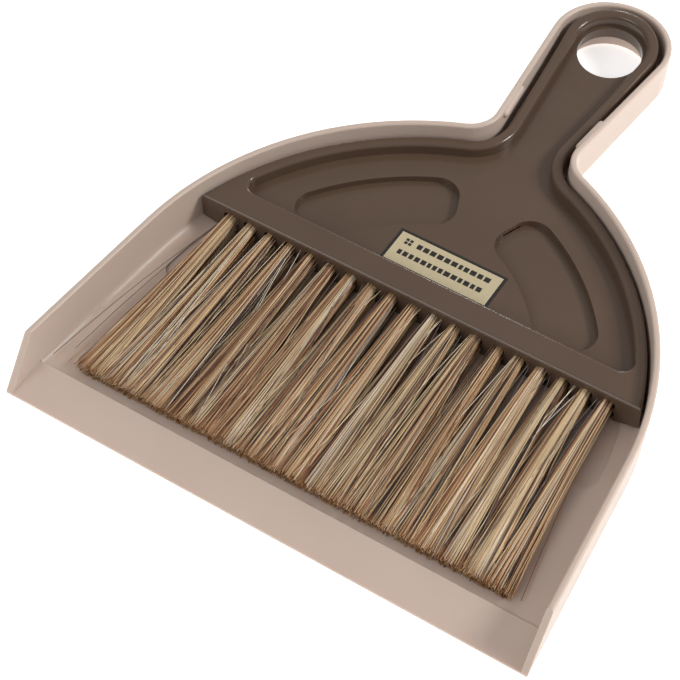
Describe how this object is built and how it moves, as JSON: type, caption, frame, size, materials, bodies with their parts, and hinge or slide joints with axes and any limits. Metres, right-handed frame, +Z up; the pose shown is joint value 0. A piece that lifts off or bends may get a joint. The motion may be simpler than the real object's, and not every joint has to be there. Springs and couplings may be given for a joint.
{
  "type": "dust pan and brush set",
  "caption": "Handheld dustpan with a bristle brush nested in its bowl. The brush lifts straight out, and both handles have a round hanging hole.",
  "frame": {"origin": "on the ground, under the middle of the whole set's box", "axes": "+Y from the front lip to the handle, +Z up, +X to the right seen from the lip"},
  "size_m": [0.207, 0.2708, 0.0203],
  "materials": {
    "pan_plastic": "translucent pinkish beige polypropylene, satin",
    "brush_plastic": "taupe brown polypropylene, semi-gloss",
    "bristle_fibre": "mixed cream, tan, brown and grey synthetic fibres",
    "anchor_wire": "plain flat wire",
    "label_paper": "cream printed film",
    "label_edge": "black printed film"
  },
  "bodies": {
    "pan": {"dustpan": "pan_plastic"},
    "brush": {"brush_body": "brush_plastic", "tuft_lower_01": "bristle_fibre", "tuft_lower_02": "bristle_fibre", "tuft_lower_03": "bristle_fibre", "tuft_lower_04": "bristle_fibre", "tuft_lower_05": "bristle_fibre", "tuft_lower_06": "bristle_fibre", "tuft_lower_07": "bristle_fibre", "tuft_lower_08": "bristle_fibre", "tuft_lower_09": "bristle_fibre", "tuft_lower_10": "bristle_fibre", "tuft_lower_11": "bristle_fibre", "tuft_lower_12": "bristle_fibre", "tuft_lower_13": "bristle_fibre", "tuft_lower_14": "bristle_fibre", "tuft_lower_15": "bristle_fibre", "tuft_lower_16": "bristle_fibre", "tuft_lower_17": "bristle_fibre", "tuft_lower_18": "bristle_fibre", "tuft_lower_19": "bristle_fibre", "tuft_upper_01": "bristle_fibre", "tuft_upper_02": "bristle_fibre", "tuft_upper_03": "bristle_fibre", "tuft_upper_04": "bristle_fibre", "tuft_upper_05": "bristle_fibre", "tuft_upper_06": "bristle_fibre", "tuft_upper_07": "bristle_fibre", "tuft_upper_08": "bristle_fibre", "tuft_upper_09": "bristle_fibre", "tuft_upper_10": "bristle_fibre", "tuft_upper_11": "bristle_fibre", "tuft_upper_12": "bristle_fibre", "tuft_upper_13": "bristle_fibre", "tuft_upper_14": "bristle_fibre", "tuft_upper_15": "bristle_fibre", "tuft_upper_16": "bristle_fibre", "tuft_upper_17": "bristle_fibre", "tuft_upper_18": "bristle_fibre", "tuft_upper_19": "bristle_fibre", "tuft_anchors": "anchor_wire", "label_face": "label_paper", "label_border": "label_edge"}
  },
  "joints": [
    {"name": "brush_lift", "type": "slide", "parent": "pan", "child": "brush", "axis": [0, 0, 1], "range_m": [0, 0.06]}
  ]
}
